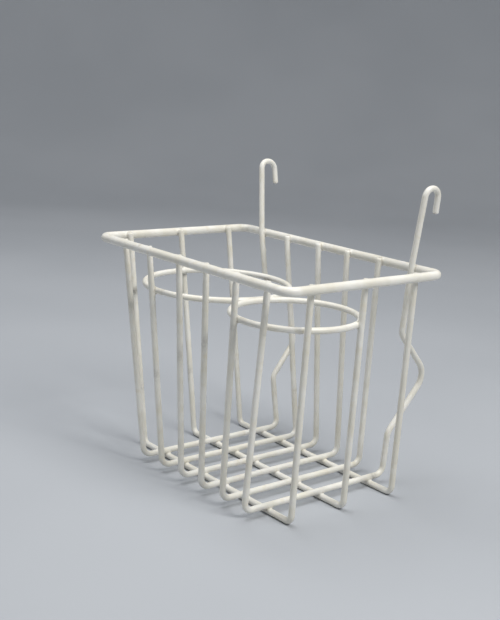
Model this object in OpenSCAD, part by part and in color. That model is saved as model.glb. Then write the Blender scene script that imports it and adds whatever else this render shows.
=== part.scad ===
// Hanging wire basket with two cup rings and two rear hooks.
// Twelve steel wires are bent, welded where they cross, and dipped in
// a plastic coating. Each wire and the length of coating on it is a node.
// Millimetres. X runs along the basket, -Y is the front, Z is up.
// The bottom of the floor wires stands on Z = 0.

/* [Rim] */
// Length of the rim between wire centres
rim_l = 200; // [180:1:240]
// Width of the rim between wire centres
rim_w = 130; // [120:1:150]
// Bend radius of the rim's corners
rim_corner_r = 7.5; // [6:0.5:16]
// Depth from the rim's centre to the floor of the cross wires
depth = 145; // [125:1:170]

/* [Wire and coating] */
// Steel diameter of the rim wire
rim_core_d = 5.1; // [4.5:0.1:6]
// Steel diameter of every other wire
wire_core_d = 3.3; // [3:0.1:3.8]
// Thickness of the plastic coating
coat_t = 0.4; // [0.3:0.05:0.6]
// How far a resistance weld sinks one wire into the next
weld_bite = 0.1; // [0.05:0.05:0.3]
// Bend radius of the cross wires at the edges of the floor
cross_bend_r = 6; // [5:0.5:12]
// Bend radius of the long wires at the edges of the floor
long_bend_r = 5; // [4:0.5:12]
// Height of the cut wire ends over the rim's centre
end_rise = 2.2; // [1:0.1:3]

/* [Cross wires] */
// Pitch of the six cross wires at the floor
cross_pitch = 22.3; // [18:0.1:26]
// How far the middle of the floor lies to the right of the rim's middle
floor_shift = 12.8; // [0:0.1:16]

/* [Long wires] */
// Pitch of the three long wires
long_pitch = 44.3; // [38:0.1:48]
// How far the middle long wire lies behind the rim's middle
long_shift = 1; // [0:0.1:4]
// How much further back the long wires lie at the floor
long_lean = 1.6; // [0:0.1:6]
// How far the left end wall leans in at the floor
left_lean = 25.4; // [8:0.1:28]
// How far the right end wall leans in at the floor
right_lean = 5; // [2:0.1:12]

/* [Hooks] */
// Height of the hooks' tops over the rim's centre
hook_rise = 52.7; // [40:0.1:70]
// Bend radius of the hooks
hook_r = 6; // [5:0.5:9]
// Length of the hooks' straight tips
hook_tip = 11; // [8:1:16]
// How far the left hook leans back between the rim and its top
left_hook_lean = 5.5; // [0:0.1:8]
// How far the right hook leans back between the rim and its top
right_hook_lean = 3.8; // [0:0.1:8]

/* [Right stand-off] */
// Reach of the right kink behind the back wall, before rounding
right_reach = 30.2; // [18:0.2:34]
// Drop of the right kink's tip below the rim's centre
right_drop = 76.5; // [70:0.5:80]
// Height of the right kink above its tip
right_up = 32; // [28:1:38]
// Depth of the right kink below its tip
right_down = 38; // [32:1:42]
// Bend radius at the right kink's tip
right_tip_r = 13; // [6:1:14]

/* [Left stand-off] */
// Reach of the left kink behind the back wall
left_reach = 23; // [18:0.5:24]
// Drop of the middle of the left kink's flat run below the rim's centre
left_drop = 69; // [66:0.5:72]
// Length of the left kink's flat run, between its corners
left_flat = 31; // [24:1:34]
// Height of the left kink's upper slope
left_up = 17.5; // [16:0.5:24]
// Height of the left kink's lower slope
left_down = 23; // [20:0.5:28]

/* [Cup rings] */
// Centre-line diameter of the large ring
large_ring_d = 100.8; // [96:0.2:102]
// Centre-line diameter of the small ring
small_ring_d = 81.4; // [78:0.2:84]
// Drop of the two rings below the rim's centre
ring_drop = 27.2; // [24:0.2:30]

/* [Hidden] */
$fn = 96;

steel = [0.56, 0.57, 0.58];
ivory = [0.88, 0.87, 0.82];

// places of the six cross wires along the rim, hook wires first and last
cross_top = [-74.8, -45.6, -11.4, 17.9, 48.3, 77.8];

rim_d = rim_core_d + 2 * coat_t;
wire_d = wire_core_d + 2 * coat_t;
inset = (rim_core_d + wire_core_d) / 2 - weld_bite; // wall wire to rim
lap = wire_core_d - weld_bite;                      // wire to wire
wall_y = rim_w / 2 - inset;
wall_x = rim_l / 2 - inset;

rim_z = depth + lap + wire_d / 2;
floor_z = rim_z - depth;        // centre of the cross wires' floor runs
base_z = floor_z - lap;         // centre of the long wires' floor runs
end_z = rim_z + end_rise;
up_slope = atan(right_reach / right_up);        // from the upright
down_slope = atan(right_reach / right_down);
tip_y = wall_y + right_reach - right_tip_r
    * (cos((up_slope - down_slope) / 2) / cos((up_slope + down_slope) / 2) - 1);
// the origin lies midway between the rim's front and the kinks' tips
mid_y = (tip_y + wire_d / 2 - (rim_w + rim_d) / 2) / 2;

// ---- wires along a bent path ----

function unit(v) = v / norm(v);
function turn_at(p, i) = let (a = unit(p[i] - p[i - 1]),
                              b = unit(p[i + 1] - p[i])) acos(a * b);
// distance from a corner to where its bend starts
function setback(p, r, i) = r[i] * tan(turn_at(p, i) / 2);

// places children's origin at o, with x, y and z along the given axes
module placed(o, x, y, z)
    multmatrix([[x[0], y[0], z[0], o[0]],
                [x[1], y[1], z[1], o[1]],
                [x[2], y[2], z[2], o[2]],
                [0, 0, 0, 1]])
        children();

// any direction square to v
function square_to(v) =
    unit(cross(abs(v[1]) < 0.9 ? [0, 1, 0] : [1, 0, 0], v));

module rod(a, b, d) {
    z = unit(b - a);
    x = square_to(z);
    placed(a, x, cross(z, x), z) cylinder(d = d, h = norm(b - a));
}

// The bend of the path p at its corner i. A bent wire is a touch thicker,
// and the straight lengths end a little way inside it.
swell = 0.04;
bury = 0.2;
module elbow(p, r, i, d) {
    along = unit(p[i] - p[i - 1]);
    next = unit(p[i + 1] - p[i]);
    inward = unit(next - (next * along) * along);
    start = p[i] - along * setback(p, r, i);
    placed(start + inward * r[i], -inward, along, cross(-inward, along))
        rotate_extrude(angle = turn_at(p, i))
            translate([r[i], 0]) circle(d = d + swell);
}

// a wire of diameter d through the points p, bent to radii r
module wire(p, r, d) {
    last = len(p) - 1;
    for (i = [0 : last - 1]) {
        dir = unit(p[i + 1] - p[i]);
        rod(p[i] + dir * (i == 0 ? 0 : setback(p, r, i) - bury),
            p[i + 1] - dir * (i == last - 1 ? 0
                                            : setback(p, r, i + 1) - bury),
            d);
    }
    for (i = [1 : last - 1]) elbow(p, r, i, d);
}

// p with both ends cut back by t
function trimmed(p, t) = let (n = len(p) - 1)
    [for (i = [0 : n]) i == 0 ? p[0] + t * unit(p[1] - p[0])
                     : i == n ? p[n] + t * unit(p[n - 1] - p[n]) : p[i]];

module steel_wire(p, r, d) color(steel) wire(trimmed(p, coat_t), r, d);

module coating(p, r, d)
    color(ivory) difference() {
        wire(p, r, d + 2 * coat_t);
        wire(trimmed(p, coat_t), r, d);
    }

// ---- rim and rings ----

module rim_loop(d) {
    x = rim_l / 2 - rim_corner_r;
    y = rim_w / 2 - rim_corner_r;
    translate([0, -mid_y, rim_z]) {
        for (s = [-1, 1]) {
            rod([-x, s * rim_w / 2, 0], [x, s * rim_w / 2, 0], d);
            rod([s * rim_l / 2, -y, 0], [s * rim_l / 2, y, 0], d);
        }
        for (q = [[1, 1, 0], [-1, 1, 90], [-1, -1, 180], [1, -1, 270]])
            translate([q[0] * x, q[1] * y, 0]) rotate(q[2])
                rotate_extrude(angle = 90)
                    translate([rim_corner_r, 0]) circle(d = d);
    }
}

module rim_wire() color(steel) rim_loop(rim_core_d);
module rim_coating()
    color(ivory) difference() { rim_loop(rim_d); rim_loop(rim_core_d); }

// Each ring lies against one front wire and one end wall's middle wire,
// and the two rings meet between them. All places are in plan, at the
// rings' height.
ring_z = rim_z - ring_drop;
function in_plan(p) = [p[0], p[1]];
// the centre of a circle of radius r through a and b, to the left of b - a
function through(a, b, r) = let (h = (b - a) / 2, n = unit([-h[1], h[0]]))
    (a + b) / 2 + n * sqrt(r * r - h * h);
large_at = through(in_plan(long_pt(-1, 0, ring_z)),
                   in_plan(cross_pt(1, -wall_y, ring_z)),
                   large_ring_d / 2 + lap);
small_at = through(in_plan(cross_pt(4, -wall_y, ring_z)),
                   in_plan(long_pt(1, 0, ring_z)),
                   small_ring_d / 2 + lap);

module ring_at(centre, ring_d)
    translate([centre[0], centre[1], ring_z])
        rotate_extrude() translate([ring_d / 2, 0]) children();

module ring_steel() circle(d = wire_core_d);
module ring_skin()
    difference() { circle(d = wire_d); circle(d = wire_core_d); }

module large_ring_wire()
    color(steel) ring_at(large_at, large_ring_d) ring_steel();
module large_ring_coating()
    color(ivory) ring_at(large_at, large_ring_d) ring_skin();
module small_ring_wire()
    color(steel) ring_at(small_at, small_ring_d) ring_steel();
module small_ring_coating()
    color(ivory) ring_at(small_at, small_ring_d) ring_skin();

// ---- cross wires, front to back ----

function floor_x(k) = floor_shift + (k - 2.5) * cross_pitch;
// cross wire k keeps to a leaning plane: its x at the height z
function cross_x(k, z) = floor_x(k)
    + (cross_top[k] - floor_x(k)) * (z - floor_z) / depth;
function cross_pt(k, y, z) = [cross_x(k, z), y - mid_y, z];

function cross_path(k) = [cross_pt(k, -wall_y, end_z),
                          cross_pt(k, -wall_y, floor_z),
                          cross_pt(k, wall_y, floor_z),
                          cross_pt(k, wall_y, end_z)];
cross_bends = [0, cross_bend_r, cross_bend_r, 0];

module cross_steel(k) steel_wire(cross_path(k), cross_bends, wire_core_d);
module cross_skin(k) coating(cross_path(k), cross_bends, wire_core_d);

module cross_wire_1() cross_steel(1);
module cross_wire_2() cross_steel(2);
module cross_wire_3() cross_steel(3);
module cross_wire_4() cross_steel(4);
module cross_coating_1() cross_skin(1);
module cross_coating_2() cross_skin(2);
module cross_coating_3() cross_skin(3);
module cross_coating_4() cross_skin(4);

// ---- hook wires: a cross wire with a stand-off kink and a hook ----

// A kink is a list of its corners from the bottom up, each with its reach
// behind the back wall, its drop below the rim's centre and its bend radius.
kink_r = 9;     // radius of every bend of the kinks but the right one's tip
lean_r = 40;    // radius of the slight bend at the rim
left_kink = [[0, left_drop + left_flat / 2 + left_down, kink_r],
             [left_reach, left_drop + left_flat / 2, kink_r],
             [left_reach, left_drop - left_flat / 2, kink_r],
             [0, left_drop - left_flat / 2 - left_up, kink_r]];
right_kink = [[0, right_drop + right_down, kink_r],
              [right_reach, right_drop, right_tip_r],
              [0, right_drop - right_up, kink_r]];

hook_top = rim_z + hook_rise;
function hook_path(k, kink, lean) = let (hook_y = wall_y + lean) concat(
    [cross_pt(k, -wall_y, end_z),
     cross_pt(k, -wall_y, floor_z),
     cross_pt(k, wall_y, floor_z)],
    [for (c = kink) cross_pt(k, wall_y + c[0], rim_z - c[1])],
    [cross_pt(k, wall_y, rim_z),
     cross_pt(k, hook_y, hook_top),
     cross_pt(k, hook_y + 2 * hook_r, hook_top),
     cross_pt(k, hook_y + 2 * hook_r, hook_top - hook_r - hook_tip)]);
function hook_bends(kink) = concat([0, cross_bend_r, cross_bend_r],
                                   [for (c = kink) c[2]],
                                   [lean_r, hook_r - 0.1, hook_r - 0.1, 0]);

left_path = hook_path(0, left_kink, left_hook_lean);
right_path = hook_path(5, right_kink, right_hook_lean);
left_bends = hook_bends(left_kink);
right_bends = hook_bends(right_kink);
module left_hook_wire() steel_wire(left_path, left_bends, wire_core_d);
module left_hook_coating() coating(left_path, left_bends, wire_core_d);
module right_hook_wire() steel_wire(right_path, right_bends, wire_core_d);
module right_hook_coating() coating(right_path, right_bends, wire_core_d);

// ---- long wires, side to side, under the cross wires ----

// A long wire keeps to one plane at each end: the point of wire j at the
// height z, at the left end wall (side -1) or the right one (side 1).
function long_pt(side, j, z) = let (t = (rim_z - z) / (depth + lap)) [
    side * (wall_x - t * (side < 0 ? left_lean : right_lean)),
    long_shift + j * long_pitch + t * long_lean - mid_y, z];
function long_path(j) = [long_pt(-1, j, end_z), long_pt(-1, j, base_z),
                         long_pt(1, j, base_z), long_pt(1, j, end_z)];

long_bends = [0, long_bend_r, long_bend_r, 0];

module long_steel(j) steel_wire(long_path(j), long_bends, wire_core_d);
module long_skin(j) coating(long_path(j), long_bends, wire_core_d);

module front_long_wire() long_steel(-1);
module middle_long_wire() long_steel(0);
module back_long_wire() long_steel(1);
module front_long_coating() long_skin(-1);
module middle_long_coating() long_skin(0);
module back_long_coating() long_skin(1);

rim_wire();
rim_coating();
left_hook_wire();
left_hook_coating();
right_hook_wire();
right_hook_coating();
cross_wire_1();
cross_coating_1();
cross_wire_2();
cross_coating_2();
cross_wire_3();
cross_coating_3();
cross_wire_4();
cross_coating_4();
front_long_wire();
front_long_coating();
middle_long_wire();
middle_long_coating();
back_long_wire();
back_long_coating();
large_ring_wire();
large_ring_coating();
small_ring_wire();
small_ring_coating();
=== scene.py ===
"""Looks of a hanging wire basket: the dipped coating on each wire, its finish,
the camera, the floor and the light. Lengths in the tables are in millimetres
and everything handed to Blender is in metres."""
import math

import bpy
import numpy as np
from mathutils import Matrix, Vector


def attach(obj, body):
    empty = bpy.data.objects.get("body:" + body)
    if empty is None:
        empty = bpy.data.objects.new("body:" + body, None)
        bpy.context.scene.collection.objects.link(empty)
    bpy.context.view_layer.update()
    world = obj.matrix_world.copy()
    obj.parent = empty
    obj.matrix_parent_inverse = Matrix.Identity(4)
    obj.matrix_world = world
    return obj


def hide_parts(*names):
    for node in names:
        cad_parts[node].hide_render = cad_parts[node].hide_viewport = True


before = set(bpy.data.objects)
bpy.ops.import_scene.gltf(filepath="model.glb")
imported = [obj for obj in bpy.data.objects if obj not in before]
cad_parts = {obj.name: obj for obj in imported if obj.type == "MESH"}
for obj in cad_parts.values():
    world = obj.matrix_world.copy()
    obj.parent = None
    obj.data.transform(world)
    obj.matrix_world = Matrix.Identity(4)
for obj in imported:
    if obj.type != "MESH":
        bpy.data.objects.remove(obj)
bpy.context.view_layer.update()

MM = 0.001

# ---------------------------------------------------------------- dimensions
# The driving values of the CAD part, in millimetres.
RIM_L, RIM_W, RIM_CORNER_R, DEPTH = 200.0, 130.0, 7.5, 145.0
RIM_CORE_D, WIRE_CORE_D, COAT_T, WELD_BITE = 5.1, 3.3, 0.4, 0.1
CROSS_BEND_R, LONG_BEND_R, LEAN_R, END_RISE = 6.0, 5.0, 40.0, 2.2
CROSS_PITCH, FLOOR_SHIFT = 22.3, 12.8
CROSS_TOP = (-74.8, -45.6, -11.4, 17.9, 48.3, 77.8)
LONG_PITCH, LONG_SHIFT, LONG_LEAN = 44.3, 1.0, 1.6
LEFT_LEAN, RIGHT_LEAN = 25.4, 5.0
HOOK_RISE, HOOK_R, HOOK_TIP = 52.7, 6.0, 11.0
HOOK_BEND_R = HOOK_R - 0.1      # a touch under, so the two bends never meet
LEFT_HOOK_LEAN, RIGHT_HOOK_LEAN = 5.5, 3.8
RIGHT_REACH, RIGHT_DROP, RIGHT_UP, RIGHT_DOWN = 30.2, 76.5, 32.0, 38.0
LEFT_REACH, LEFT_DROP, LEFT_FLAT = 23.0, 69.0, 31.0
LEFT_UP, LEFT_DOWN = 17.5, 23.0
RIGHT_TIP_R, KINK_R = 13.0, 9.0
LARGE_RING_D, SMALL_RING_D, RING_DROP = 100.8, 81.4, 27.2

RIM_R = RIM_CORE_D / 2 + COAT_T         # outside radius of the coated rim
WIRE_R = WIRE_CORE_D / 2 + COAT_T       # outside radius of a coated wire
INSET = (RIM_CORE_D + WIRE_CORE_D) / 2 - WELD_BITE
LAP = WIRE_CORE_D - WELD_BITE
WALL_X, WALL_Y = RIM_L / 2 - INSET, RIM_W / 2 - INSET
RIM_Z = DEPTH + LAP + WIRE_R
FLOOR_Z = RIM_Z - DEPTH
BASE_Z = FLOOR_Z - LAP
END_Z = RIM_Z + END_RISE
RING_Z = RIM_Z - RING_DROP
UP_SLOPE = math.atan(RIGHT_REACH / RIGHT_UP)        # from the upright
DOWN_SLOPE = math.atan(RIGHT_REACH / RIGHT_DOWN)
TIP_Y = WALL_Y + RIGHT_REACH - RIGHT_TIP_R * (
    math.cos((UP_SLOPE - DOWN_SLOPE) / 2)
    / math.cos((UP_SLOPE + DOWN_SLOPE) / 2) - 1)
MID_Y = (TIP_Y + WIRE_R - RIM_W / 2 - RIM_R) / 2


# ---------------------------------------------------------------- wire paths
def cross_pt(k, y, z):
    """A point of cross wire k, which keeps to its own leaning plane."""
    floor_x = FLOOR_SHIFT + (k - 2.5) * CROSS_PITCH
    x = floor_x + (CROSS_TOP[k] - floor_x) * (z - FLOOR_Z) / DEPTH
    return (x, y - MID_Y, z)


def long_pt(side, j, z):
    """A point of long wire j on the left (-1) or right (1) end wall."""
    t = (RIM_Z - z) / (DEPTH + LAP)
    lean = LEFT_LEAN if side < 0 else RIGHT_LEAN
    return (side * (WALL_X - t * lean),
            LONG_SHIFT + j * LONG_PITCH + t * LONG_LEAN - MID_Y, z)


def through(a, b, r):
    """The centre of a circle of radius r through a and b, to the left of
    the way from a to b."""
    hx, hy = (b[0] - a[0]) / 2, (b[1] - a[1]) / 2
    half = math.hypot(hx, hy)
    k = math.sqrt(r * r - half * half) / half
    return ((a[0] + b[0]) / 2 - hy * k, (a[1] + b[1]) / 2 + hx * k)


def cross_path(k):
    return ([cross_pt(k, -WALL_Y, END_Z), cross_pt(k, -WALL_Y, FLOOR_Z),
             cross_pt(k, WALL_Y, FLOOR_Z), cross_pt(k, WALL_Y, END_Z)],
            [0, CROSS_BEND_R, CROSS_BEND_R, 0])


# The corners of each stand-off kink from the bottom up: reach behind the
# back wall, drop below the rim's centre and bend radius.
LEFT_KINK = ((0, LEFT_DROP + LEFT_FLAT / 2 + LEFT_DOWN, KINK_R),
             (LEFT_REACH, LEFT_DROP + LEFT_FLAT / 2, KINK_R),
             (LEFT_REACH, LEFT_DROP - LEFT_FLAT / 2, KINK_R),
             (0, LEFT_DROP - LEFT_FLAT / 2 - LEFT_UP, KINK_R))
RIGHT_KINK = ((0, RIGHT_DROP + RIGHT_DOWN, KINK_R),
              (RIGHT_REACH, RIGHT_DROP, RIGHT_TIP_R),
              (0, RIGHT_DROP - RIGHT_UP, KINK_R))


def hook_path(k, kink, lean):
    top, hook_y = RIM_Z + HOOK_RISE, WALL_Y + lean
    far_y = hook_y + 2 * HOOK_R
    points = [cross_pt(k, -WALL_Y, END_Z), cross_pt(k, -WALL_Y, FLOOR_Z),
              cross_pt(k, WALL_Y, FLOOR_Z)]
    points += [cross_pt(k, WALL_Y + reach, RIM_Z - drop)
               for reach, drop, _ in kink]
    points += [cross_pt(k, WALL_Y, RIM_Z), cross_pt(k, hook_y, top),
               cross_pt(k, far_y, top),
               cross_pt(k, far_y, top - HOOK_R - HOOK_TIP)]
    bends = [0, CROSS_BEND_R, CROSS_BEND_R] + [r for _, _, r in kink]
    return points, bends + [LEAN_R, HOOK_BEND_R, HOOK_BEND_R, 0]


def long_path(j):
    return ([long_pt(-1, j, END_Z), long_pt(-1, j, BASE_Z),
             long_pt(1, j, BASE_Z), long_pt(1, j, END_Z)],
            [0, LONG_BEND_R, LONG_BEND_R, 0])


def unit(v):
    return v / np.linalg.norm(v)


class Line:
    """A centre-line made of straight runs and round bends, measured by the
    distance along it."""

    def __init__(self, closed=False):
        self.parts, self.length, self.closed = [], 0.0, closed

    def run(self, a, b):
        size = float(np.linalg.norm(b - a))
        if size > 1e-6:
            self.parts.append(("run", self.length, size, a, unit(b - a)))
            self.length += size

    def bend(self, centre, inward, along, r, angle):
        self.parts.append(("bend", self.length, r * angle, centre, inward,
                           along, r))
        self.length += r * angle

    def at(self, s):
        """Points and directions at the distances s."""
        s = np.asarray(s, float)
        if self.closed:
            s = np.mod(s, self.length)
        p, d = np.zeros((len(s), 3)), np.zeros((len(s), 3))
        for i, part in enumerate(self.parts):
            last = i == len(self.parts) - 1
            m = (s >= part[1]) & ((s < part[1] + part[2]) | last)
            if i == 0:
                m |= s < part[1]
            t = s[m] - part[1]
            if part[0] == "run":
                p[m] = part[3] + t[:, None] * part[4]
                d[m] = part[4]
            else:
                _, _, _, centre, inward, along, r = part
                q = (t / r)[:, None]
                p[m] = centre - inward * r * np.cos(q) + along * r * np.sin(q)
                d[m] = inward * np.sin(q) + along * np.cos(q)
        return p, d


def bent(path):
    """The line of a wire through corner points, bent to the given radii."""
    pts, radii = [np.array(p, float) for p in path[0]], path[1]
    line, here = Line(), pts[0]
    for i in range(1, len(pts) - 1):
        a, b = unit(pts[i] - pts[i - 1]), unit(pts[i + 1] - pts[i])
        angle = math.acos(max(-1.0, min(1.0, float(a @ b))))
        back = radii[i] * math.tan(angle / 2)
        inward = unit(b - (b @ a) * a)
        start = pts[i] - a * back
        line.run(here, start)
        line.bend(start + inward * radii[i], inward, a, radii[i], angle)
        here = pts[i] + b * back
    line.run(here, pts[-1])
    return line


def rim_line():
    x, y = RIM_L / 2 - RIM_CORNER_R, RIM_W / 2 - RIM_CORNER_R
    line = Line(closed=True)
    c = np.array([0, -MID_Y, RIM_Z])
    for q in range(4):
        turn = np.array([[0, -1, 0], [1, 0, 0], [0, 0, 1.0]])
        m = np.linalg.matrix_power(turn, q)
        along, inward = m @ [1.0, 0, 0], m @ [0, 1.0, 0]
        hx, hy = (x, y) if q % 2 == 0 else (y, x)
        side = c - inward * (hy + RIM_CORNER_R)
        line.run(side - along * hx, side + along * hx)
        line.bend(side + along * hx + inward * RIM_CORNER_R, inward, along,
                  RIM_CORNER_R, math.pi / 2)
    return line


def ring_line(centre, d):
    line = Line(closed=True)
    line.bend(np.array([centre[0], centre[1], RING_Z]), np.array([0, 1.0, 0]),
              np.array([1.0, 0, 0]), d / 2, 2 * math.pi)
    return line


large_at = through(long_pt(-1, 0, RING_Z), cross_pt(1, -WALL_Y, RING_Z),
                   LARGE_RING_D / 2 + LAP)
small_at = through(cross_pt(4, -WALL_Y, RING_Z), long_pt(1, 0, RING_Z),
                   SMALL_RING_D / 2 + LAP)


END_FLAT = 0.75     # height of a coated end's dome, as a share of its radius
CHORD = 0.9         # length of the short segments that stand for a bend


class Wire:
    """One coated wire: its line, its outside radius and the CAD node that
    its coating replaces."""

    def __init__(self, name, node, line, r, seed):
        self.name, self.node, self.line, self.r = name, node, line, r
        self.rng = np.random.RandomState(seed)
        # the same line as short straight segments, for measuring distance
        cut = 0 if line.closed else r * END_FLAT
        s = [cut]
        for part in line.parts:
            if part[0] == "run":
                s.append(part[1] + part[2])
            else:
                n = max(3, int(part[2] / CHORD))
                s += list(part[1] + part[2] * np.arange(1, n + 1) / n)
        s = np.array([v for v in s if v < line.length - cut - 1e-6])
        s = np.append(s, line.length - cut)
        if line.closed:
            s[-1] = line.length - 1e-9
        p = line.at(s)[0]
        if line.closed:
            p[-1] = p[0]
        self.a, self.b = p[:-1], p[1:]


wires = [Wire("rim_skin", "rim_coating", rim_line(), RIM_R, 1),
         Wire("left_hook_skin", "left_hook_coating",
              bent(hook_path(0, LEFT_KINK, LEFT_HOOK_LEAN)), WIRE_R, 2),
         Wire("right_hook_skin", "right_hook_coating",
              bent(hook_path(5, RIGHT_KINK, RIGHT_HOOK_LEAN)), WIRE_R, 3),
         Wire("large_ring_skin", "large_ring_coating",
              ring_line(large_at, LARGE_RING_D), WIRE_R, 4),
         Wire("small_ring_skin", "small_ring_coating",
              ring_line(small_at, SMALL_RING_D), WIRE_R, 5)]
for k in (1, 2, 3, 4):
    wires.append(Wire(f"cross_skin_{k}", f"cross_coating_{k}",
                      bent(cross_path(k)), WIRE_R, 10 + k))
for j, place in ((-1, "front"), (0, "middle"), (1, "back")):
    wires.append(Wire(f"{place}_long_skin", f"{place}_long_coating",
                      bent(long_path(j)), WIRE_R, 20 + j))


# ------------------------------------------------------------ marks of use
# Grey rub marks, and brown marks on the undersides (painted shade under the
# large ring's far arc, darker spots under the floor wires): the wire, how far
# along it the mark lies (on a closed wire from its own start point), half its
# length and how dark it is, from 0 to 1.
RUBS = (("front_long_skin", 42, 2.4, 0.8), ("left_hook_skin", 44.5, 3.5, 0.3),
        ("cross_skin_3", 51, 4.5, 0.32), ("cross_skin_2", 65.5, 4.5, 0.3),
        ("middle_long_skin", 105, 3.0, 0.35), ("cross_skin_1", 86.5, 4.0, 0.3),
        ("front_long_skin", 112, 3.5, 0.35), ("middle_long_skin", 33.5, 1.8, 0.6),
        ("cross_skin_4", 34, 2.5, 0.35), ("right_hook_skin", 257, 3.0, 0.6))
RUB_SIDE = (0.62, -0.74, 0.26)      # rub marks are mostly on the outer side
# brown marks on the undersides: those on the large ring are painted shade
STAINS_AND_SHADE = (("large_ring_skin", 163, 6.0, 0.8), ("large_ring_skin", 150, 3.0, 0.4),
          ("back_long_skin", 275, 2.0, 0.6), ("front_long_skin", 275, 1.6, 0.6))
# Lumps in the coating: the wire, the distance, half the length, the height.
LUMPS = (("left_hook_skin", 421, 1.5, 0.5), ("large_ring_skin", 160, 2.2, 0.3),
         ("rim_skin", 236, 2.5, 0.22), ("right_hook_skin", 150, 2.0, 0.2))


def bumps(table, wire, s):
    """The sum of a table's marks at the distances s along a wire."""
    out = np.zeros(len(s))
    for name, at, half, size in table:
        if name == wire.name:
            out += size * np.exp(-((s - at) / half) ** 2)
    return out


# ------------------------------------------------------- the skin of a wire
MELT = 2.3          # width of the web that the dip leaves where wires meet
MOST_SWELL = 1.25   # the furthest a web stands out from its own wire
SINK = 0.35         # how fast a skin dives below its neighbour past the seam
HALVINGS = 11       # steps that find the height of a web
FINE = 0.25         # spacing of the points at which step sizes are worked out
CLOSE, WIDE = 0.42, 2.2     # least and most distance between cross-sections
DOME = np.radians([20, 38, 54, 68, 80])     # cross-sections of an end's dome
WAVES, WAVE_SIZE = 10, 0.013    # slow waves in the coating's thickness
RIM_SIDES, WIRE_SIDES = 32, 26  # corners of a cross-section


def far_from(p, a, b):
    """The distance of each point from the nearest of the segments a-b."""
    out = np.empty(len(p))
    ab = b - a
    ll = np.maximum((ab * ab).sum(1), 1e-12)
    for i in range(0, len(p), 4000):
        q = p[i:i + 4000, None, :] - a[None]
        t = np.clip((q * ab[None]).sum(2) / ll, 0, 1)
        d = q - t[..., None] * ab[None]
        out[i:i + 4000] = np.sqrt((d * d).sum(2).min(1))
    return out


def melted(own, others):
    """Depth below the dipped skin where wires' own depths meet, and how much
    nearer the nearest other wire is."""
    f = own.copy()
    nearest = np.full(len(own), 1e9)
    for o in others:
        h = np.maximum(MELT - np.abs(f - o), 0) / MELT
        f = np.minimum(f, o) - h * h * MELT / 4
        nearest = np.minimum(nearest, o)
    return f, own - nearest


def spacing(wire):
    """Where along a wire its cross-sections go: close together at welds and
    bends, further apart on plain lengths."""
    line = wire.line
    fine = np.arange(0, line.length, FINE)
    p = line.at(fine)[0]
    near = np.full(len(fine), 1e9)
    for o in wires:
        if o is not wire:
            near = np.minimum(near, far_from(p, o.a, o.b) - o.r - wire.r)
    step = np.clip(CLOSE + (near - MELT) * 0.12, CLOSE, WIDE)
    for part in line.parts:
        if part[0] == "bend":
            m = (fine >= part[1] - 1) & (fine <= part[1] + part[2] + 1)
            step[m] = np.minimum(step[m], max(0.6, part[6] * 0.08))
    # a step grows only slowly along the wire
    for order in (range(1, len(fine)), range(len(fine) - 2, -1, -1)):
        for i in order:
            n = i - 1 if order.step > 0 else i + 1
            step[i] = min(step[i], step[n] + 0.05)
    ticks = np.concatenate([[0], np.cumsum(FINE / step)])
    n = int(round(ticks[-1]))
    return np.interp(np.linspace(0, ticks[-1], n + 1),
                     ticks, np.append(fine, line.length))


def sections(wire):
    """Centres, two square directions and radii of a wire's cross-sections."""
    s = spacing(wire)
    line, r = wire.line, wire.r
    scale = np.ones(len(s))
    if line.closed:
        s = s[:-1]
        scale = scale[:-1]
    else:
        cap = r * END_FLAT
        rise, wide = np.sin(DOME), np.cos(DOME) ** 0.85
        inner = s[(s > cap + 0.1) & (s < line.length - cap - 0.1)]
        s = np.concatenate([cap * (1 - rise[::-1]), [cap], inner,
                            [line.length - cap],
                            line.length - cap * (1 - rise)])
        scale = np.concatenate([wide[::-1], np.ones(len(inner) + 2), wide])
    p, d = line.at(s)
    # carry one direction along without twist
    u = np.zeros_like(p)
    u[0] = unit(np.cross(d[0], [0.3, 0.5, 0.81]))   # any square direction
    for i in range(1, len(p)):
        v = u[i - 1] - (u[i - 1] @ d[i]) * d[i]
        u[i] = unit(v)
    w = np.cross(d, u)
    if line.closed:     # spread the twist that is left over
        gap = math.atan2(float(u[-1] @ w[0]), float(u[-1] @ u[0]))
        turn = -gap * np.arange(len(p)) / len(p)
        c, n = np.cos(turn)[:, None], np.sin(turn)[:, None]
        u, w = u * c + w * n, w * c - u * n
    return s, p, u, w, scale


def wavy(wire, s, th):
    """Slow changes in the coating's thickness along and round a wire."""
    rng, total = wire.rng, wire.line.length
    out = np.zeros(np.broadcast(s, th).shape)
    for _ in range(WAVES):
        n = rng.uniform(total / 60, total / 14)
        n = max(1, round(n)) if wire.line.closed else n
        k = rng.randint(0, 3)
        out += rng.uniform(0.3, 1) * np.cos(
            2 * math.pi * n * s / total + k * th + rng.uniform(0, 6.28))
    return out * WAVE_SIZE


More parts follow.
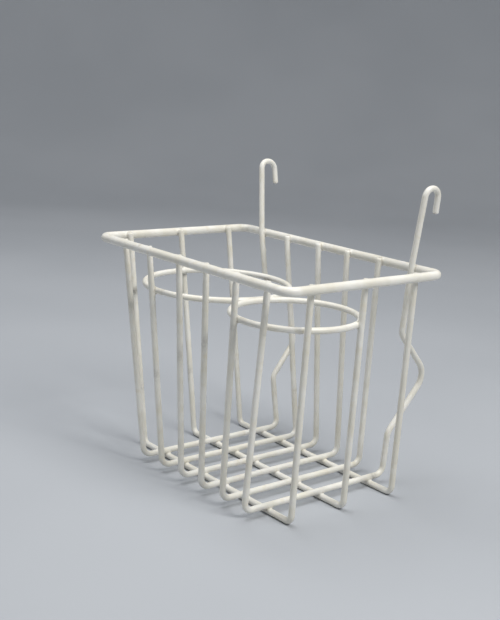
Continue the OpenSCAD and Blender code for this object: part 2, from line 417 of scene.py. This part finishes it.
def skin(wire):
    """The closed mesh of one wire's coating."""
    s, c, u, w, scale = sections(wire)
    count = RIM_SIDES if wire.r > WIRE_R else WIRE_SIDES
    th = np.arange(count) * 2 * math.pi / count
    out = (u[:, None] * np.cos(th)[None, :, None]
           + w[:, None] * np.sin(th)[None, :, None])
    r = wire.r * scale[:, None] + np.zeros((1, count))
    plain = scale > 0.999
    r[plain] += wavy(wire, s[plain, None], th[None])
    r += bumps(LUMPS, wire, s)[:, None] * np.clip(np.cos(th - 1.0), 0, 1)
    p = c[:, None] + out * r[..., None]
    weld = np.zeros(p.shape[:2])

    # wires near enough to share a web with this one, section by section
    reach = 2 * MELT + MOST_SWELL
    neighbours = []
    for o in wires:
        if o is wire:
            continue
        close = far_from(c, o.a, o.b) < wire.r + o.r + reach
        if close.any():
            mid = (o.a + o.b) / 2
            size = np.linalg.norm(o.b - o.a, axis=1) / 2
            sep = np.array([far_from(m[None], wire.a, wire.b)[0]
                            for m in mid])
            keep = sep - size < wire.r + o.r + reach + 2
            neighbours.append((o, close, o.a[keep], o.b[keep]))

    def depth(q, rows, r0):
        own = far_from(q, wire.a, wire.b) - r0
        others = []
        for o, close, a, b in neighbours:
            m = close[rows]
            d = np.full(len(q), 1e6)
            if m.any():
                d[m] = far_from(q[m], a, b) - o.r
            others.append(d)
        return melted(own, others)

    near = np.zeros(len(c), bool)
    for n in neighbours:
        near |= n[1]
    rows = np.repeat(np.nonzero(near)[0], count)
    cols = np.tile(np.arange(count), int(near.sum()))
    if len(rows):
        base, way, r0 = p[rows, cols], out[rows, cols], r[rows, cols]
        # an end's dome keeps its own shape
        r0 = np.where(scale[rows] > 0.999, r0, wire.r)
        lo, hi = np.zeros(len(rows)), np.full(len(rows), MOST_SWELL)
        for _ in range(HALVINGS):
            t = (lo + hi) / 2
            f, past = depth(base + way * t[:, None], rows, r0)
            f = f + SINK * np.maximum(past, 0)
            inside = f < 0
            lo, hi = np.where(inside, t, lo), np.where(inside, hi, t)
        t = (lo + hi) / 2
        t[t < 0.002] = 0
        p[rows, cols] = base + way * t[:, None]
        f, past = depth(p[rows, cols], rows, r0)
        weld[rows, cols] = np.clip((past + MELT) / MELT, 0, 1)
    outer = np.clip(0.45 + 0.6 * (out @ np.array(RUB_SIDE)), 0, 1)
    # the brown marks go on the undersides only; on the large ring they are
    # painted shade
    under = np.clip(0.3 - 0.9 * out[..., 2], 0, 1)
    marks = [(bumps(RUBS, wire, s)[:, None] * outer).ravel(),
             (bumps(STAINS_AND_SHADE, wire, s)[:, None] * under).ravel()]
    return p, weld, marks


def skin_object(wire, material):
    p, weld, marks = skin(wire)
    n, count = p.shape[:2]
    verts = p.reshape(-1, 3)
    weld = weld.reshape(-1)
    i = np.arange(n if wire.line.closed else n - 1)
    a = (i[:, None] * count + np.arange(count)[None]).ravel()
    b = (i[:, None] * count + (np.arange(count)[None] + 1) % count).ravel()
    step = ((i + 1) % n - i)[:, None] * count + np.zeros((1, count), int)
    step = step.ravel()
    faces = np.stack([a, b, b + step, a + step], 1).tolist()
    if not wire.line.closed:    # close the two domes with a point each
        ends, tips = wire.line.at([0.0, wire.line.length])[0], len(verts)
        verts = np.vstack([verts, ends])
        weld = np.append(weld, [0, 0])
        marks = [np.append(m, [0, 0]) for m in marks]
        ring = np.arange(count)
        nxt = (ring + 1) % count
        faces += [[tips, int(y), int(x)] for x, y in zip(ring, nxt)]
        last = (n - 1) * count
        faces += [[tips + 1, int(last + x), int(last + y)]
                  for x, y in zip(ring, nxt)]
    mesh = bpy.data.meshes.new(wire.name)
    mesh.from_pydata((verts * MM).tolist(), [], faces)
    for name, values in (("weld", weld), ("rub", marks[0]),
                         ("stain_and_shade", marks[1])):
        mesh.attributes.new(name, "FLOAT", "POINT").data.foreach_set(
            "value", values.astype(np.float32))
    mesh.shade_smooth()
    mesh.validate()
    mesh.materials.append(material)
    piece = bpy.data.objects.new(wire.name, mesh)
    bpy.context.scene.collection.objects.link(piece)
    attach(piece, "root")
    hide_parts(wire.node)
    return piece


# ----------------------------------------------------------------- materials
class Nodes:
    """A material's node tree, built with short calls."""

    def __init__(self, name):
        self.mat = bpy.data.materials.new(name)
        self.mat.use_nodes = True
        self.tree = self.mat.node_tree
        self.shader = self.tree.nodes["Principled BSDF"]
        self.coord = self.tree.nodes.new("ShaderNodeTexCoord")

    def add(self, kind, inputs=(), **props):
        node = self.tree.nodes.new("ShaderNode" + kind)
        for key, value in props.items():
            setattr(node, key, value)
        for key, value in dict(inputs).items():
            if hasattr(value, "is_output"):
                self.tree.links.new(value, node.inputs[key])
            else:
                node.inputs[key].default_value = value
        return node

    def put(self, value, socket):
        self.tree.links.new(value, self.shader.inputs[socket])

    def noise(self, scale, detail=3.0, rough=0.5, stretch=(1, 1, 1)):
        where = self.add("Mapping", {"Vector": self.coord.outputs["Object"],
                                     "Scale": stretch})
        return self.add("TexNoise", {"Vector": where.outputs[0],
                                     "Scale": scale, "Detail": detail,
                                     "Roughness": rough}).outputs["Fac"]

    def span(self, value, lo, hi, out_lo=0.0, out_hi=1.0):
        return self.add("MapRange", {"Value": value, "From Min": lo,
                                     "From Max": hi, "To Min": out_lo,
                                     "To Max": out_hi},
                        interpolation_type="SMOOTHSTEP").outputs[0]

    def math(self, operation, a, b):
        return self.add("Math", {0: a, 1: b}, operation=operation).outputs[0]

    def mix(self, fac, a, b):
        node = self.add("Mix", data_type="RGBA")
        for socket, value in ((node.inputs[0], fac), (node.inputs[6], a),
                              (node.inputs[7], b)):
            if hasattr(value, "is_output"):
                self.tree.links.new(value, socket)
            else:
                socket.default_value = value
        return node.outputs[2]


def coating_material():
    """Semi-gloss dipped plastic: cream, a little uneven, with painted shade in
    the webs at the welds and under the large ring, rubbed grey in places, with
    the soft dimples of a dipped skin."""
    n = Nodes("dipped_coating")
    n.shader.inputs["IOR"].default_value = 1.48
    n.shader.inputs["Subsurface Weight"].default_value = 0.06
    n.shader.inputs["Subsurface Radius"].default_value = (0.0012, 0.0010, 0.0007)
    cream = (0.770, 0.742, 0.655, 1)
    chalk = (0.840, 0.822, 0.765, 1)
    cloud = n.span(n.noise(48, 3.0, 0.6), 0.34, 0.66)
    colour = n.mix(cloud, cream, chalk)
    # a yellower tone where the dip stayed thin
    thin = n.span(n.noise(150, 3.0, 0.55), 0.52, 0.74, 0.0, 0.5)
    colour = n.mix(thin, colour, (0.74, 0.69, 0.56, 1))
    # painted shade in the webs where wires meet, broken into patches
    weld = n.add("Attribute", attribute_name="weld").outputs["Fac"]
    patch = n.span(n.noise(300, 4.0, 0.65), 0.32, 0.66)
    web_shade = n.math("MULTIPLY", n.span(weld, 0.35, 1.0, 0.0, 0.62), patch)
    colour = n.mix(web_shade, colour, (0.36, 0.32, 0.24, 1))
    # grey rub marks, patchy at their edges, and a faint scatter of scuffs
    grain = n.span(n.noise(520, 4.0, 0.7), 0.25, 0.62)
    rub_at = n.add("Attribute", attribute_name="rub").outputs["Fac"]
    rub = n.math("MULTIPLY", rub_at, grain)
    scuff = n.span(n.noise(110, 5.0, 0.66), 0.64, 0.76, 0.0, 0.32)
    rub = n.math("MAXIMUM", rub, scuff)
    colour = n.mix(rub, colour, (0.225, 0.215, 0.185, 1))
    # brown marks on the undersides: painted shade under the large ring's far arc,
    # darker spots under the floor wires
    stain_and_shade_at = n.add("Attribute", attribute_name="stain_and_shade").outputs["Fac"]
    stain_and_shade = n.math("MULTIPLY", stain_and_shade_at, grain)
    colour = n.mix(stain_and_shade, colour, (0.24, 0.16, 0.10, 1))
    n.put(colour, "Base Color")
    rough = n.span(n.noise(120, 3.0), 0.3, 0.7, 0.30, 0.44)
    # rougher on the rub marks, the brown marks and the painted shade at the welds
    wear_and_shade = n.math("MAXIMUM", n.math("MAXIMUM", rub, stain_and_shade), web_shade)
    n.put(n.math("ADD", rough, n.math("MULTIPLY", wear_and_shade, 0.35)), "Roughness")
    peel = n.math("ADD", n.math("MULTIPLY", n.noise(420, 2.0), 0.8),
                  n.math("MULTIPLY", n.noise(1500, 3.0, 0.6), 0.2))
    bump = n.add("Bump", {"Height": peel, "Strength": 0.35,
                          "Distance": 0.00014})
    n.put(bump.outputs[0], "Normal")
    return n.mat


def steel_material():
    n = Nodes("drawn_steel")
    n.shader.inputs["Metallic"].default_value = 1.0
    streak = n.noise(700, 4.0, 0.6, (1, 1, 0.08))
    n.put(n.mix(n.span(streak, 0.3, 0.7), (0.36, 0.36, 0.35, 1),
                (0.50, 0.50, 0.49, 1)), "Base Color")
    n.put(n.span(streak, 0.3, 0.7, 0.28, 0.45), "Roughness")
    bump = n.add("Bump", {"Height": streak, "Strength": 0.3,
                          "Distance": 0.00005})
    n.put(bump.outputs[0], "Normal")
    return n.mat


coating = coating_material()
steel = steel_material()
for wire in wires:
    skin_object(wire, coating)
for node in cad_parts:
    if node.endswith("_wire") or node.startswith("cross_wire"):
        obj = bpy.data.objects[node]
        if obj.material_slots:
            for slot in obj.material_slots:
                slot.material = steel


# --------------------------------------------------------- floor and light
def sweep():
    """A plain pale floor that curves up into a backdrop all the way round."""
    flat, curve, height, around = 1.3, 0.9, 3.0, 96
    lift = 0.0002       # the floor lies this far under the basket
    profile = [(flat * t, 0.0) for t in (0.25, 0.5, 0.75, 1.0)]
    profile += [(flat + curve * math.sin(a), curve - curve * math.cos(a))
                for a in np.linspace(0, math.pi / 2, 25)[1:]]
    profile += [(flat + curve, height)]
    verts, faces = [(0.0, 0.0, -lift)], []
    for i in range(around):
        turn = 2 * math.pi * i / around
        verts += [(r * math.cos(turn), r * math.sin(turn), h - lift)
                  for r, h in profile]
    m = len(profile)
    for i in range(around):
        here, there = 1 + i * m, 1 + (i + 1) % around * m
        faces.append((0, here, there))
        faces += [(here + j, here + j + 1, there + j + 1, there + j)
                  for j in range(m - 1)]
    mesh = bpy.data.meshes.new("floor")
    mesh.from_pydata(verts, [], faces)
    mesh.shade_smooth()
    n = Nodes("floor_paper")
    n.put(n.mix(n.span(n.noise(3, 2.0), 0.3, 0.7), (0.41, 0.43, 0.46, 1),
                (0.44, 0.46, 0.49, 1)), "Base Color")
    n.shader.inputs["Roughness"].default_value = 0.8
    n.shader.inputs["Specular IOR Level"].default_value = 0.2
    mesh.materials.append(n.mat)
    floor = bpy.data.objects.new("floor", mesh)
    bpy.context.scene.collection.objects.link(floor)


def softbox(name, place, aim, size, power, colour=(1, 1, 1)):
    light = bpy.data.lights.new(name, "AREA")
    light.shape, light.size, light.size_y = "RECTANGLE", size[0], size[1]
    light.energy, light.color = power, colour
    obj = bpy.data.objects.new(name, light)
    obj.location = place
    obj.rotation_euler = (Vector(aim) - Vector(place)).to_track_quat(
        "-Z", "Y").to_euler()
    bpy.context.scene.collection.objects.link(obj)


CAM_AZ, CAM_EL, CAM_ROLL = 50.189, 13.031, 3.412    # degrees
CAM_DIST, CAM_X, CAM_DROP = 721.438, -10.315, 40.27  # millimetres
FOCAL_PX = 1050.8       # focal length in pixels of a 500 x 620 image
LONG_SIDE_PX = 620


def camera():
    az, el, roll = (math.radians(v) for v in (CAM_AZ, CAM_EL, CAM_ROLL))
    back = Vector((math.sin(az) * math.cos(el),
                   -math.cos(az) * math.cos(el), math.sin(el)))
    right = (-back).cross(Vector((0, 0, 1))).normalized()
    up = right.cross(-back)
    x = right * math.cos(roll) + up * math.sin(roll)
    y = up * math.cos(roll) - right * math.sin(roll)
    target = Vector((CAM_X, -MID_Y, RIM_Z - CAM_DROP)) * MM
    cam = bpy.data.cameras.new("camera")
    cam.sensor_width = 36.0
    cam.lens = FOCAL_PX / LONG_SIDE_PX * cam.sensor_width
    cam.clip_start, cam.clip_end = 0.01, 50
    obj = bpy.data.objects.new("camera", cam)
    m = Matrix((x, y, back)).transposed().to_4x4()
    m.translation = target + back * (CAM_DIST * MM)
    obj.matrix_world = m
    bpy.context.scene.collection.objects.link(obj)
    bpy.context.scene.camera = obj


camera()
sweep()
softbox("key", (1.1, 0.1, 1.35), (0, 0, 0.1), (0.7, 0.7), 19,
        (1.0, 0.985, 0.95))
softbox("top", (-0.25, -0.1, 1.6), (0, 0, 0), (0.9, 0.9), 15)
softbox("fill", (-0.75, -1.15, 1.0), (0, 0, 0.1), (0.8, 0.8), 2.2,
        (0.94, 0.97, 1.0))
world = bpy.data.worlds.new("studio")
world.use_nodes = True
world.node_tree.nodes["Background"].inputs[0].default_value = (
    0.94, 0.97, 1.0, 1)
world.node_tree.nodes["Background"].inputs[1].default_value = 0.2
bpy.context.scene.world = world
bpy.context.scene.view_settings.view_transform = "Standard"
